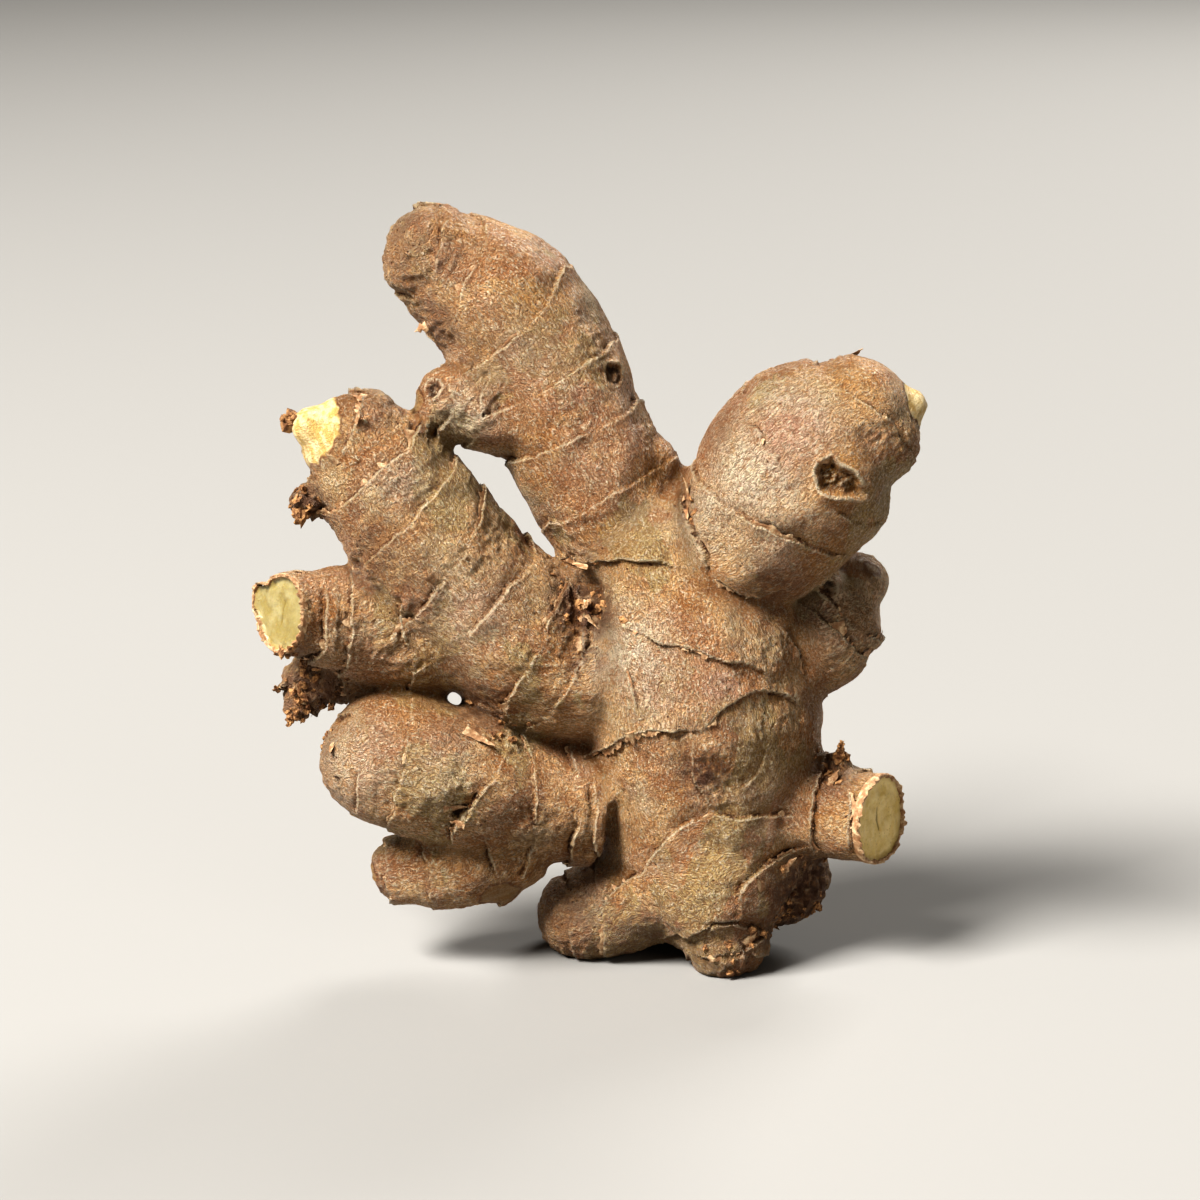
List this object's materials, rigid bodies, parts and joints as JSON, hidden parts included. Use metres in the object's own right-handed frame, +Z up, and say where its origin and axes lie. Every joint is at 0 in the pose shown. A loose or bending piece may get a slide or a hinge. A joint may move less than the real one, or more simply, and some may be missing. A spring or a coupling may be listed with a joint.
{
  "type": "ginger root",
  "caption": "Fresh ginger root: a branched, lumpy hand of fingers with ringed papery skin and two broken ends, which stands on three lobes.",
  "frame": {"origin": "on the floor, under the middle of the root's bounding box", "axes": "+Z up as it stands, -Y out of its broad front side, +X towards the short broken stub, -X towards the side finger with the other broken end"},
  "size_m": [0.1198, 0.044, 0.1383],
  "materials": {
    "skin": "dry, matt, papery tan skin with pale ring scars and fine wrinkles",
    "flesh": "moist pale yellow-green flesh of the broken ends and bud tips"
  },
  "bodies": {
    "root": {"ginger_rhizome": "skin"}
  },
  "joints": []
}
